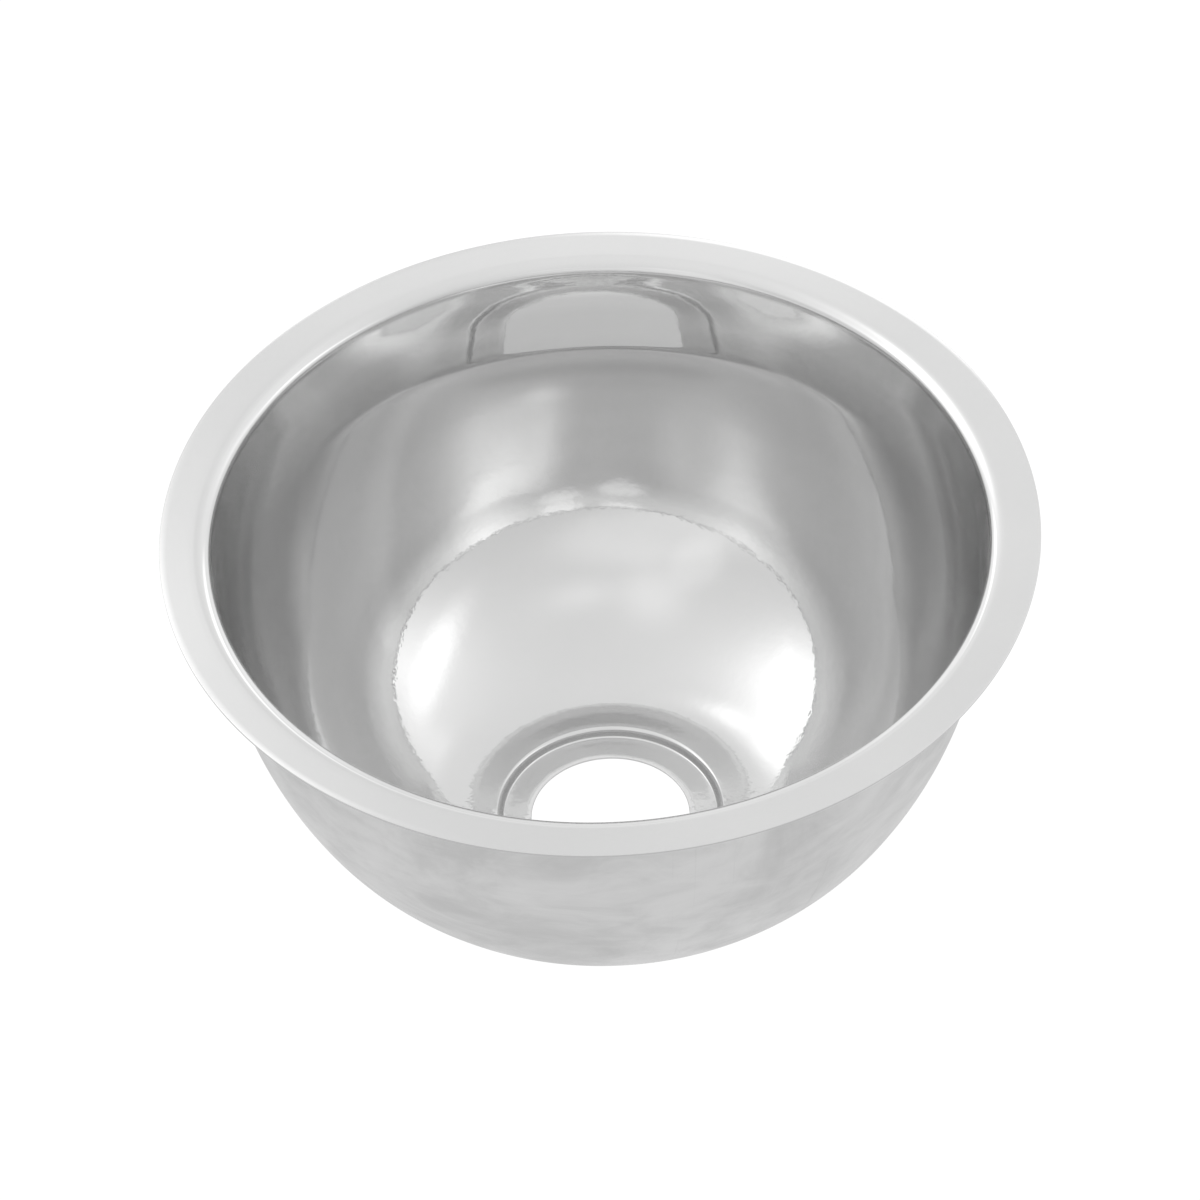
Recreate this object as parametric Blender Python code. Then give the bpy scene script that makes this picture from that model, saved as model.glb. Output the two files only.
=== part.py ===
"""Round inset foot-bath bowl: one deep-drawn sheet-steel bowl with a flat rim and an
open outlet, with the seal, the three swivelling fixing clips, the bonding tag and the
sound-deadening pad that sit under its rim and base. Metres, +Z up, origin on the bowl's
axis at the underside of the outlet recess, which is the lowest face."""

import math
from collections import namedtuple

import bmesh
import bpy
from mathutils import Matrix, Vector

MM = 0.001

# ---------------------------------------------------------------- bowl dimensions
RIM_OUTER_R = 240.0 * MM        # outer radius of the flat rim
RIM_STATION_INSET = 12.0 * MM   # rim edge to the one meridian point on the flat rim
WALL_TOP_R = 212.0 * MM         # inner radius of the wall where the rim bend ends
RIM_BEND_R = 4.8 * MM           # bend between rim and wall, on the upper surface
RIM_BEND_STEPS = 5
SHEET = 1.2 * MM                # sheet thickness
WALL_DRAFT = math.radians(2.06)     # the wall's lean from vertical
WALL_SLOPE = math.pi / 2 - WALL_DRAFT
WALL_STRAIGHT = 24.7 * MM           # straight height of the wall

# Arcs from the straight wall down to the flat base:
# meridian radius, slope where the arc ends, steps
BOWL_ARCS = (
    (262.0 * MM, math.radians(62.5), 5),
    (156.5 * MM, math.radians(23.2), 7),
    (80.2 * MM, 0.0, 4),
)

LIP_START_R = 64.0 * MM         # where the flat base turns into the outlet recess
LIP_R = 2.5 * MM                # radius of the recess's upper edge
LIP_STEPS = 3
FOOT_R = 1.2 * MM               # radius at the recess's foot
FOOT_STEPS = 3
RECESS_SLOPE = math.radians(75.0)
RECESS_DEPTH = 5.2 * MM
OUTLET_R = 44.45 * MM           # 3 1/2 in outlet hole
BOWL_SEGMENTS = 60

# ---------------------------------------------------------------- seal and pad
GAP = 0.3 * MM                  # between pieces that rest on each other

SEAL_INNER_R = 230.8 * MM
SEAL_OUTER_R = 235.4 * MM
SEAL_THICK = 2.4 * MM
SEAL_CHAMFER = 0.2 * SEAL_THICK     # on both lower edges

PAD_INNER_R = 68.0 * MM
PAD_OUTER_R = 106.0 * MM
PAD_THICK = 3.0 * MM
PAD_SEARCH_R = 1.3 * PAD_OUTER_R    # the pad follows meridian points inside this radius

# ---------------------------------------------------------------- fixing hardware
# shank radius and length, head radius and height, driver slot, segments round the axis
Screw = namedtuple("Screw", "radius length head_r head_height slot_width slot_depth segments")

# axis_r: the screw axis from the bowl's axis. top, drop: the tab's upper face and the
# flange's lower end below the rim plane. reach: tab beyond the screw axis.
# bend: inner bend radius. cut_below: hole cutter's reach below the tab's upper face.
Tab = namedtuple("Tab", "axis_r width sheet top drop reach bend hole_r cut_below")

TAB_CUT_ABOVE = 3.0 * MM        # hole cutter's reach above a tab's upper face
TAB_BEND_STEPS = 4
CUT_OVERRUN = 2.0 * MM          # bore and hook hole cutters, beyond each face
THREAD_CLEARANCE = 0.08 * MM    # radial, screw to nut
HOLE_SEGMENTS = 24
BORE_SEGMENTS = 32

CLIPS = ((-30.0, 1), (-150.0, -1), (90.0, 1))   # degrees about +Z, local Y side of the hook
CLIP_SCREW = Screw(             # M5
    radius=2.5 * MM, length=18.4 * MM, head_r=4.5 * MM, head_height=3.0 * MM,
    slot_width=1.2 * MM, slot_depth=1.4 * MM, segments=32,
)
CLIP_SCREW_TIP = 2.6 * MM       # tip below the rim plane, fully driven in
CLIP_HOLE_R = CLIP_SCREW.radius + 0.4 * MM
CLIP_TAB = Tab(
    axis_r=221.5 * MM, width=16.0 * MM, sheet=1.5 * MM, top=6.0 * MM, drop=18.5 * MM,
    reach=6.2 * MM, bend=1.5 * MM, hole_r=CLIP_HOLE_R, cut_below=5.0 * MM,
)
CLIP_NUT_FLATS = 8.0 * MM
CLIP_NUT_HEIGHT = 4.0 * MM

HOOK_WIDTH = 12.0 * MM
HOOK_SHEET = 1.5 * MM
HOOK_REACH = 31.0 * MM          # screw axis to the hook's tip
HOOK_RISE = 5.5 * MM            # turned-up tip, above the hook's lower face
HOOK_BEND = 1.6 * MM            # inner bend radius
HOOK_END_STEPS = 6              # round the quarter turn of the round end
HOOK_BEND_STEPS = 5
HOOK_TUCK = math.radians(6.0)   # lean towards the wall at rest
TOOTH_PITCH = HOOK_WIDTH / 3
NOTCH_DEPTH = 1.6 * MM
NOTCH_HALF_WIDTH = 0.42 * TOOTH_PITCH   # at the cutter's top
NOTCH_OVER = 0.4 * MM           # cutter's top above the hook's tip
NOTCH_OVERRUN = 1.0 * MM        # cutter beyond each face of the tip

TAG_ANGLE = 150.0               # degrees about +Z
TAG_SCREW = Screw(              # M4
    radius=2.0 * MM, length=12.0 * MM, head_r=3.5 * MM, head_height=2.4 * MM,
    slot_width=1.0 * MM, slot_depth=1.0 * MM, segments=24,
)
TAG_TAB = Tab(
    axis_r=221.0 * MM, width=12.0 * MM, sheet=1.2 * MM, top=10.0 * MM, drop=24.0 * MM,
    reach=6.0 * MM, bend=1.2 * MM, hole_r=TAG_SCREW.radius + 0.3 * MM, cut_below=4.0 * MM,
)
WASHER_HOLE_R = TAG_SCREW.radius + 0.25 * MM
WASHER_R = 4.0 * MM
WASHER_THICK = 0.8 * MM
WASHER_SEGMENTS = 24
TAG_NUT_FLATS = 7.0 * MM
TAG_NUT_HEIGHT = 3.2 * MM

SHARP_ANGLE = math.radians(35.0)    # edges steeper than this stay sharp in shading
MERGE_DISTANCE = 1e-7

# ---------------------------------------------------------------- scene and materials
for old in list(bpy.data.objects):
    bpy.data.objects.remove(old, do_unlink=True)
scene = bpy.context.scene
scene.unit_settings.system = "METRIC"
scene.unit_settings.scale_length = 1.0


def material(name, colour, roughness, metallic):
    made = bpy.data.materials.new(name)
    made.use_nodes = True
    shader = made.node_tree.nodes["Principled BSDF"]
    shader.inputs["Base Color"].default_value = (*colour, 1.0)
    shader.inputs["Roughness"].default_value = roughness
    shader.inputs["Metallic"].default_value = metallic
    return made


POLISHED = material(
    "polished_stainless", colour=(0.74, 0.75, 0.75), roughness=0.10, metallic=1.0
)
ZINC = material("zinc_plated_steel", colour=(0.62, 0.63, 0.66), roughness=0.35, metallic=1.0)
SPRING_STEEL = material(
    "pressed_clip_steel", colour=(0.55, 0.56, 0.58), roughness=0.40, metallic=1.0
)
FOAM = material("closed_cell_foam", colour=(0.05, 0.05, 0.055), roughness=0.90, metallic=0.0)
BITUMEN = material("deadening_pad", colour=(0.16, 0.16, 0.17), roughness=0.80, metallic=0.0)
BRASS = material("plated_brass", colour=(0.72, 0.60, 0.34), roughness=0.35, metallic=1.0)


# ---------------------------------------------------------------- the bowl's meridian
# Meridian points are (radius, z, slope), with z = 0 at the rim plane. The slope is the
# angle of fall towards the axis.
def steepening_arc(radius, z, arc_r, end, steps):
    """Points of an arc that starts level at (radius, z), itself included."""
    made = []
    for i in range(steps + 1):
        slope = end * i / steps
        made.append(
            (radius - arc_r * math.sin(slope), z - arc_r * (1 - math.cos(slope)), slope)
        )
    return made


def flattening_arc(radius, z, start, arc_r, end, steps):
    """Points after (radius, z) of an arc whose slope eases from start to end."""
    centre_radius = radius - arc_r * math.sin(start)
    centre_z = z + arc_r * math.cos(start)
    made = []
    for i in range(1, steps + 1):
        slope = start + (end - start) * i / steps
        made.append(
            (
                centre_radius + arc_r * math.sin(slope),
                centre_z - arc_r * math.cos(slope),
                slope,
            )
        )
    return made


def straight_fall(radius, z, slope, height):
    """The point at the foot of a straight run of this slope and height."""
    return (radius - height / math.tan(slope), z - height, slope)


def meridian():
    """The bowl's upper and inner surface, from the rim's outer edge to the outlet."""
    points = [(RIM_OUTER_R, 0.0, 0.0), (RIM_OUTER_R - RIM_STATION_INSET, 0.0, 0.0)]
    points += steepening_arc(
        WALL_TOP_R + RIM_BEND_R, 0.0, RIM_BEND_R, WALL_SLOPE, RIM_BEND_STEPS
    )
    points.append(straight_fall(*points[-1], WALL_STRAIGHT))
    for arc_r, end, steps in BOWL_ARCS:
        points += flattening_arc(*points[-1], arc_r, end, steps)

    # the recess: a rounded lip, a steep side and a rounded foot
    base_z = points[-1][1]
    points += steepening_arc(LIP_START_R, base_z, LIP_R, RECESS_SLOPE, LIP_STEPS)
    side_height = RECESS_DEPTH - (LIP_R + FOOT_R) * (1 - math.cos(RECESS_SLOPE))
    points.append(straight_fall(*points[-1], side_height))
    points += flattening_arc(*points[-1], FOOT_R, 0.0, FOOT_STEPS)
    points.append((OUTLET_R, points[-1][1], 0.0))
    return points


def offset(points, distance):
    """The same meridian moved square to itself, below the sheet's upper surface."""
    return [
        (radius + distance * math.sin(slope), z - distance * math.cos(slope), slope)
        for radius, z, slope in points
    ]


INNER = meridian()
RIM_Z = SHEET - INNER[-1][1]    # height of the rim plane above the origin


def outer_radius(depth):
    """Outer radius of the straight wall this far below the rim plane."""
    return (
        WALL_TOP_R
        + SHEET / math.cos(WALL_DRAFT)
        - (depth - RIM_BEND_R) * math.tan(WALL_DRAFT)
    )


# ---------------------------------------------------------------- mesh helpers
def finish(shape, name, mat, parent=None, location=(0, 0, 0), rotation=0.0):
    """Turns a bmesh into a named object; rotation is about Z."""
    bmesh.ops.remove_doubles(shape, verts=shape.verts, dist=MERGE_DISTANCE)
    bmesh.ops.recalc_face_normals(shape, faces=shape.faces)
    mesh = bpy.data.meshes.new(name)
    shape.to_mesh(mesh)
    shape.free()
    mesh.materials.append(mat)
    mesh.shade_smooth()
    mesh.set_sharp_from_angle(angle=SHARP_ANGLE)
    made = bpy.data.objects.new(name, mesh)
    scene.collection.objects.link(made)
    made.parent = parent
    made.location = location
    made.rotation_euler = (0, 0, rotation)
    return made


def turned(loop, segments):
    """A closed loop of (radius, z) spun once round the Z axis."""
    shape = bmesh.new()
    ring = [shape.verts.new((radius, 0.0, z)) for radius, z in loop]
    edges = [shape.edges.new(pair) for pair in zip(ring, ring[1:] + ring[:1])]
    bmesh.ops.spin(
        shape,
        geom=ring + edges,
        cent=(0, 0, 0),
        axis=(0, 0, 1),
        angle=2 * math.pi,
        steps=segments,
        use_merge=True,
    )
    return shape


def extruded(outlines, y_start, y_end):
    """Closed (x, z) outlines, each extruded along Y."""
    shape = bmesh.new()
    for outline in outlines:
        face = shape.faces.new([shape.verts.new((x, y_start, z)) for x, z in outline])
        made = bmesh.ops.extrude_face_region(shape, geom=[face])
        moved = [v for v in made["geom"] if isinstance(v, bmesh.types.BMVert)]
        bmesh.ops.translate(shape, verts=moved, vec=(0, y_end - y_start, 0))
    return shape


def cylinder(radius, low, high, segments=HOLE_SEGMENTS):
    shape = bmesh.new()
    bmesh.ops.create_cone(
        shape,
        cap_ends=True,
        segments=segments,
        radius1=radius,
        radius2=radius,
        depth=high - low,
    )
    half_segment = Matrix.Rotation(math.pi / segments, 3, "Z")
    bmesh.ops.rotate(shape, verts=shape.verts, cent=(0, 0, 0), matrix=half_segment)
    bmesh.ops.translate(shape, verts=shape.verts, vec=(0, 0, (low + high) / 2))
    return shape


def block(size, centre):
    shape = bmesh.new()
    bmesh.ops.create_cube(shape, size=1.0)
    bmesh.ops.scale(shape, verts=shape.verts, vec=size)
    bmesh.ops.translate(shape, verts=shape.verts, vec=centre)
    return shape


def cut(target, shape, label):
    """Takes a closed bmesh, given in target's own coordinates, out of target."""
    cutter = finish(
        shape, f"{target.name}_{label}", ZINC,
        target.parent, target.location, target.rotation_euler.z,
    )
    cutter.hide_render = True
    cutter.display_type = "WIRE"
    modifier = target.modifiers.new(label, "BOOLEAN")
    modifier.operation = "DIFFERENCE"
    modifier.solver = "EXACT"
    modifier.object = cutter


def make_station(name, angle, radius):
    """An empty on a screw's axis at the rim plane, with its X pointing outwards."""
    turn = math.radians(angle)
    made = bpy.data.objects.new(name, None)
    scene.collection.objects.link(made)
    made.location = (radius * math.cos(turn), radius * math.sin(turn), RIM_Z)
    made.rotation_euler = (0, 0, turn)
    made.empty_display_size = 0.01
    return made


# ---------------------------------------------------------------- bowl, seal and pad
def make_bowl():
    points = INNER + offset(INNER, SHEET)[::-1]
    loop = [(radius, z + RIM_Z) for radius, z, _ in points]
    finish(turned(loop, BOWL_SEGMENTS), "bowl_shell", POLISHED)


def make_seal():
    """The foam ring under the rim."""
    top = RIM_Z - SHEET - GAP
    low = top - SEAL_THICK
    loop = [
        (SEAL_INNER_R, top),
        (SEAL_OUTER_R, top),
        (SEAL_OUTER_R, low + SEAL_CHAMFER),
        (SEAL_OUTER_R - SEAL_CHAMFER, low),
        (SEAL_INNER_R + SEAL_CHAMFER, low),
        (SEAL_INNER_R, low + SEAL_CHAMFER),
    ]
    finish(turned(loop, BOWL_SEGMENTS), "rim_seal", FOAM)


def pad_side(distance):
    """The bowl's meridian offset by this distance, between the pad's two radii."""
    base = [point for point in INNER if LIP_START_R <= point[0] < PAD_SEARCH_R]
    ordered = sorted((radius, z) for radius, z, _ in offset(base, distance))
    made = [(PAD_INNER_R, ordered[0][1])]
    for (radius, z), (next_radius, next_z) in zip(ordered, ordered[1:]):
        if PAD_INNER_R < radius < PAD_OUTER_R:
            made.append((radius, z))
        if radius < PAD_OUTER_R <= next_radius:
            fraction = (PAD_OUTER_R - radius) / (next_radius - radius)
            made.append((PAD_OUTER_R, z + (next_z - z) * fraction))
    return made


def make_pad():
    """The deadening ring under the base."""
    points = pad_side(SHEET + GAP + PAD_THICK) + pad_side(SHEET + GAP)[::-1]
    loop = [(radius, z + RIM_Z) for radius, z in points]
    finish(turned(loop, BOWL_SEGMENTS), "sound_pad", BITUMEN)


# ---------------------------------------------------------------- shared hardware
# Heights here are measured from the rim plane, and x from the screw's axis.
def tab_outline(tab):
    """Side outline of a flange that follows the wall and turns out into a flat tab."""

    def wall_x(depth):
        return outer_radius(depth) + GAP - tab.axis_r

    low_x = wall_x(tab.drop)
    top_x = wall_x(tab.top + tab.bend + tab.sheet)
    tab_low = -(tab.top + tab.sheet)
    outer_bend = tab.bend + tab.sheet
    angles = [math.pi / 2 * i / TAB_BEND_STEPS for i in range(TAB_BEND_STEPS + 1)]
    hollow_side = [
        (
            top_x + tab.sheet + tab.bend * (1 - math.cos(angle)),
            tab_low - tab.bend * (1 - math.sin(angle)),
        )
        for angle in angles
    ]
    outer_side = [
        (
            top_x + outer_bend * (1 - math.sin(angle)),
            -tab.top - outer_bend * (1 - math.cos(angle)),
        )
        for angle in angles
    ]
    return [
        (low_x, -tab.drop),
        (low_x + tab.sheet, -tab.drop),
        *hollow_side,
        (tab.reach, tab_low),
        (tab.reach, -tab.top),
        *outer_side,
    ]


def make_tab(name, tab, station):
    shape = extruded([tab_outline(tab)], -tab.width / 2, tab.width / 2)
    made = finish(shape, name, SPRING_STEEL, station)
    hole = cylinder(tab.hole_r, -(tab.top + tab.cut_below), -(tab.top - TAB_CUT_ABOVE))
    cut(made, hole, "hole")


def make_screw(name, screw, face, head_side, mat, station):
    """A slotted pan-head screw. face is the height of the head's clamping face and
    head_side is +1 with the head above it, -1 with the head below."""
    chamfer = screw.radius * 0.3
    tip = -screw.length
    # radius, distance from the clamping face towards the head
    section = [
        (0.0, tip),
        (screw.radius - chamfer, tip),
        (screw.radius, tip + chamfer),
        (screw.radius, 0.0),
        (screw.head_r, 0.0),
        (screw.head_r, screw.head_height * 0.55),
        (screw.head_r * 0.86, screw.head_height * 0.88),
        (screw.head_r * 0.62, screw.head_height),
        (0.0, screw.head_height),
    ]
    loop = [(radius, face + head_side * distance) for radius, distance in section]
    made = finish(turned(loop, screw.segments), name, mat, station)
    # centred on the head's end face, so half of the block's height is in the head
    slot = block(
        (screw.slot_width, 3 * screw.head_r, 2 * screw.slot_depth),
        (0, 0, face + head_side * screw.head_height),
    )
    cut(made, slot, "slot")


def make_nut(name, flats, height, top, screw, mat, station):
    """A hexagon nut of this size across its flats, bored to suit the screw."""
    low = top - height
    made = finish(cylinder(flats / math.sqrt(3), low, top, segments=6), name, mat, station)
    bore = cylinder(
        screw.radius + THREAD_CLEARANCE, low - CUT_OVERRUN, top + CUT_OVERRUN, BORE_SEGMENTS
    )
    cut(made, bore, "bore")


# ---------------------------------------------------------------- fixing clips
def hook_stations():
    """(y, z, tilt, half width) of the hook's lower face, from round end to tip."""
    half = HOOK_WIDTH / 2
    stations = []
    for i in range(HOOK_END_STEPS + 1):
        angle = math.pi / 2 * i / HOOK_END_STEPS
        stations.append((-half * math.cos(angle), 0.0, 0.0, half * math.sin(angle)))
    stations.append((HOOK_REACH * 0.5, 0.0, 0.0, half))
    outer_bend = HOOK_BEND + HOOK_SHEET
    bend_y = HOOK_REACH - outer_bend
    for i in range(HOOK_BEND_STEPS + 1):     # centre of the bend lies above the strip
        tilt = math.pi / 2 * i / HOOK_BEND_STEPS
        y = bend_y + outer_bend * math.sin(tilt)
        stations.append((y, outer_bend * (1 - math.cos(tilt)), tilt, half))
    stations.append((HOOK_REACH, HOOK_RISE, math.pi / 2, half))
    return stations


def hook_shape():
    """A strip with a round end about the screw, lying along +Y, whose far end turns up."""
    shape = bmesh.new()
    rings = []
    for y, z, tilt, half_width in hook_stations():
        up = Vector((0, -math.sin(tilt), math.cos(tilt))) * HOOK_SHEET
        base = Vector((0, y, z))
        if half_width < 1e-9:                # the round end starts at a single edge
            low, high = shape.verts.new(base), shape.verts.new(base + up)
            rings.append([low, high, high, low])
            continue
        across = Vector((half_width, 0, 0))
        corners = (base + across, base + across + up, base - across + up, base - across)
        rings.append([shape.verts.new(corner) for corner in corners])
    for ring, following in zip(rings, rings[1:]):
        for i in range(4):
            j = (i + 1) % 4
            # dropping repeats leaves triangles at the round end's starting edge
            corners = dict.fromkeys((ring[i], ring[j], following[j], following[i]))
            shape.faces.new(list(corners))
    shape.faces.new(rings[-1][::-1])
    return shape


def hook_notches():
    """Two V notches across the turned-up tip, which leave three biting teeth."""
    top = HOOK_RISE + NOTCH_OVER
    outlines = [
        [(x - NOTCH_HALF_WIDTH, top), (x, HOOK_RISE - NOTCH_DEPTH), (x + NOTCH_HALF_WIDTH, top)]
        for x in (-TOOTH_PITCH / 2, TOOTH_PITCH / 2)
    ]
    return extruded(
        outlines, HOOK_REACH - HOOK_SHEET - NOTCH_OVERRUN, HOOK_REACH + NOTCH_OVERRUN
    )


def make_hook(name, low, side, station):
    """The hook with its lower face at this height, on the +Y or -Y side of the screw."""
    rotation = HOOK_TUCK if side > 0 else math.pi - HOOK_TUCK
    made = finish(hook_shape(), name, SPRING_STEEL, station, (0, 0, low), rotation)
    cut(made, cylinder(CLIP_HOLE_R, -CUT_OVERRUN, HOOK_SHEET + CUT_OVERRUN), "hole")
    cut(made, hook_notches(), "teeth")


def make_clip(number, angle, side):
    """Bracket, nut under its tab, screw with its head down, hook resting on the head."""
    station = make_station(f"clip_{number}_axis", angle, CLIP_TAB.axis_r)
    make_tab(f"clip_bracket_{number}", CLIP_TAB, station)
    make_nut(
        f"clip_nut_{number}", CLIP_NUT_FLATS, CLIP_NUT_HEIGHT,
        -(CLIP_TAB.top + CLIP_TAB.sheet + GAP), CLIP_SCREW, ZINC, station,
    )
    head_face = -(CLIP_SCREW_TIP + CLIP_SCREW.length)
    make_screw(f"clip_screw_{number}", CLIP_SCREW, head_face, -1, ZINC, station)
    make_hook(f"clip_hook_{number}", head_face + GAP, side, station)


# ---------------------------------------------------------------- bonding tag
def make_washer(top, station):
    low = top - WASHER_THICK
    loop = [(WASHER_HOLE_R, top), (WASHER_R, top), (WASHER_R, low), (WASHER_HOLE_R, low)]
    finish(turned(loop, WASHER_SEGMENTS), "bonding_washer", BRASS, station)


def make_bonding_tag():
    """Tag, screw with its head on top of the tab, then washer and nut below it."""
    station = make_station("bonding_axis", TAG_ANGLE, TAG_TAB.axis_r)
    make_tab("bonding_tag", TAG_TAB, station)
    make_screw("bonding_screw", TAG_SCREW, GAP - TAG_TAB.top, 1, BRASS, station)
    washer_top = -(TAG_TAB.top + TAG_TAB.sheet + GAP)
    make_washer(washer_top, station)
    make_nut(
        "bonding_nut", TAG_NUT_FLATS, TAG_NUT_HEIGHT,
        washer_top - WASHER_THICK - GAP, TAG_SCREW, BRASS, station,
    )


# ---------------------------------------------------------------- build
make_bowl()
make_seal()
make_pad()
for clip_number, (clip_angle, hook_side) in enumerate(CLIPS, start=1):
    make_clip(clip_number, clip_angle, hook_side)
make_bonding_tag()
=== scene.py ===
import math

import bmesh
import bpy
import numpy as np
from mathutils import Matrix, Vector, noise


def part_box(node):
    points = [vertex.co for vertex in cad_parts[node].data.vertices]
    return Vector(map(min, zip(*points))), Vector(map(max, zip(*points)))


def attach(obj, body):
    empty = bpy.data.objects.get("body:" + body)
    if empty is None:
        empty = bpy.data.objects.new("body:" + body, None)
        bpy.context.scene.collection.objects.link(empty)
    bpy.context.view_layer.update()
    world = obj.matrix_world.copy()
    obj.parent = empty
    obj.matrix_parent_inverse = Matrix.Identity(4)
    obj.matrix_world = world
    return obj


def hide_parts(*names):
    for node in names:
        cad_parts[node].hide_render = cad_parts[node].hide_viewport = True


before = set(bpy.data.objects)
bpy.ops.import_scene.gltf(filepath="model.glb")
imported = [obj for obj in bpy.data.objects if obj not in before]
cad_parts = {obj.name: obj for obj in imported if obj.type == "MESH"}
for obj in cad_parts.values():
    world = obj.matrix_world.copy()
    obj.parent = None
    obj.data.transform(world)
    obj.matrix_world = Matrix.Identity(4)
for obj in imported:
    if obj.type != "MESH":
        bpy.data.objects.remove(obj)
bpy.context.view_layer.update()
scene = bpy.context.scene
MM = 0.001

# ------------------------------------------------------------------ sizes of the bowl
shell_low, shell_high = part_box("bowl_shell")
RIM_R = shell_high.x
RIM_Z = shell_high.z

SHEET = 1.2 * MM  # sheet thickness
EDGE = 0.28 * MM  # rounding of the cut edges
SEGMENTS = 300

WALL_TOP_R = 212.0 * MM
RIM_BEND_R = 4.8 * MM
BEND_OUTER_R = WALL_TOP_R + RIM_BEND_R
RIM_EASE_R = 14.6 * MM  # the gentle bend before the tight one
RIM_EASE = math.radians(29.5)
WALL_DRAFT = math.radians(2.06)
WALL_STRAIGHT = 24.7 * MM
# The body below the straight wall: radius, slope at the lower end, steps
BODY_ARCS = (
    (262.0 * MM, math.radians(73.5), 32),
    (262.0 * MM, math.radians(62.5), 9),
    (156.5 * MM, math.radians(23.2), 30),
    (80.2 * MM, 0.0, 14),
)
# The recess round the outlet
LIP_START_R = 64.0 * MM
LIP_R = 2.5 * MM
FOOT_R = 1.2 * MM
RECESS_SLOPE = math.radians(75.0)
RECESS_DEPTH = 5.2 * MM
OUTLET_R = 44.45 * MM

BACK_STRAIGHT_TO = 62.0 * MM  # the back wall stays nearly straight down to this depth
BACK_SETTLES_AT = 125.0 * MM  # and is back on the nominal shape at this one


# ------------------------------------------------------------------ node helpers
class Graph:
    """Short-hand for building a node tree. A value may be a socket or a constant."""

    def __init__(self, tree):
        self.nodes = tree.nodes
        self.links = tree.links

    def put(self, socket, value):
        if value is None:
            return
        if hasattr(value, "is_output"):
            self.links.new(value, socket)
        else:
            socket.default_value = value

    def add(self, kind, **inputs):
        node = self.nodes.new("ShaderNode" + kind)
        for name, value in inputs.items():
            self.put(node.inputs[name], value)
        return node

    def fill(self, node, *values):
        for socket, value in zip(node.inputs, values):
            self.put(socket, value)
        return node.outputs[0]

    def math(self, operation, first, second=None):
        node = self.add("Math")
        node.operation = operation
        return self.fill(node, first, second)

    def plus(self, first, second):
        return self.math("ADD", first, second)

    def times(self, first, second):
        return self.math("MULTIPLY", first, second)

    def vector(self, operation, first, second=None, out=0):
        node = self.add("VectorMath")
        node.operation = operation
        self.fill(node, first, second)
        return node.outputs[out]

    def scale(self, colour, factor):
        return self.vector("MULTIPLY", colour, self.combine(factor, factor, factor))

    def ramp(self, value, low, high, start=0.0, end=1.0):
        """Runs smoothly from start to end as value goes from low to high."""
        node = self.add("MapRange")
        node.interpolation_type = "SMOOTHSTEP"
        node.clamp = True
        return self.fill(node, value, low, high, start, end)

    def profile(self, value, stops, span):
        """A smooth curve through (position, grey) stops, positions 0 to span."""
        node = self.add("ValToRGB")
        node.color_ramp.interpolation = "EASE"
        elements = node.color_ramp.elements
        elements[0].position = stops[0][0] / span
        elements[1].position = stops[-1][0] / span
        for position, _ in stops[1:-1]:
            elements.new(position / span)
        for element, (_, grey) in zip(elements, stops):
            element.color = (grey, grey, grey, 1)
        return self.fill(node, value)

    def separate(self, vector):
        node = self.add("SeparateXYZ")
        self.fill(node, vector)
        return node.outputs

    def combine(self, x, y, z):
        return self.fill(self.add("CombineXYZ"), x, y, z)

    def noise(self, place, scale, detail, rough, distortion=0.0):
        node = self.add(
            "TexNoise", Vector=place, Scale=scale, Detail=detail, Roughness=rough,
            Distortion=distortion,
        )
        return node.outputs[0]

    def mix(self, factor, first, second):
        node = self.add("Mix")
        node.data_type = "RGBA"
        self.put(node.inputs[0], factor)
        self.put(node.inputs[6], first)
        self.put(node.inputs[7], second)
        return node.outputs[2]

    def bump(self, height, strength, distance, normal=None):
        node = self.add("Bump", Strength=strength, Distance=distance, Height=height, Normal=normal)
        return node.outputs[0]

    def position(self):
        return self.add("TexCoord").outputs["Object"]

    def surface(self, colour, rough, normal, metallic=1.0):
        inputs = self.nodes["Principled BSDF"].inputs
        self.put(inputs["Base Color"], colour)
        self.put(inputs["Roughness"], rough)
        self.put(inputs["Normal"], normal)
        self.put(inputs["Metallic"], metallic)


def new_material(name):
    made = bpy.data.materials.new(name)
    made.use_nodes = True
    return made, Graph(made.node_tree)


def turned_coordinates(graph, around, along):
    """Coordinates for marks on a turned piece: scaled by around across the axis and by
    along up the meridian. Both are in cycles per metre of the noise."""
    x, y, z = graph.separate(graph.position())
    radius = graph.vector("LENGTH", graph.combine(x, y, 0.0), out=1)
    length = graph.plus(z, graph.times(radius, -0.7))
    return graph.combine(
        graph.times(x, around), graph.times(y, around), graph.times(length, along)
    )


# ------------------------------------------------------------------ materials
# Painted light and shade in the polish: reflectance as (depth below the rim in mm, grey), on the
# sides and at the back, whose bright and dark bands stand in for the light the polish reflects.
# The values are tuned for the one camera view and are not a property of the steel.
POLISH_SPAN = 230
PAINTED_LIGHT_SIDES = (
    (0, 0.620), (2.5, 0.60), (4, 0.57), (6, 0.60), (9, 0.86), (16, 0.84), (25, 0.84),
    (36, 0.77), (46, 0.70), (56, 0.645), (64, 0.60), (72, 0.56), (90, 0.56), (110, 0.585),
    (125, 0.60), (142, 0.61), (162, 0.618), (182, 0.632), (205, 0.628), (221, 0.63),
    (225, 0.67), (230, 0.67),
)
PAINTED_LIGHT_BACK = (
    (0, 0.620), (2, 0.62), (5, 0.66), (9, 0.88), (16, 0.85), (25, 0.68), (36, 0.642),
    (50, 0.635), (60, 0.615), (66, 0.55), (74, 0.46), (82, 0.52), (92, 0.56), (110, 0.59),
    (125, 0.605), (142, 0.60), (162, 0.618), (182, 0.632), (205, 0.625), (221, 0.63),
    (225, 0.67), (230, 0.67),
)
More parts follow.
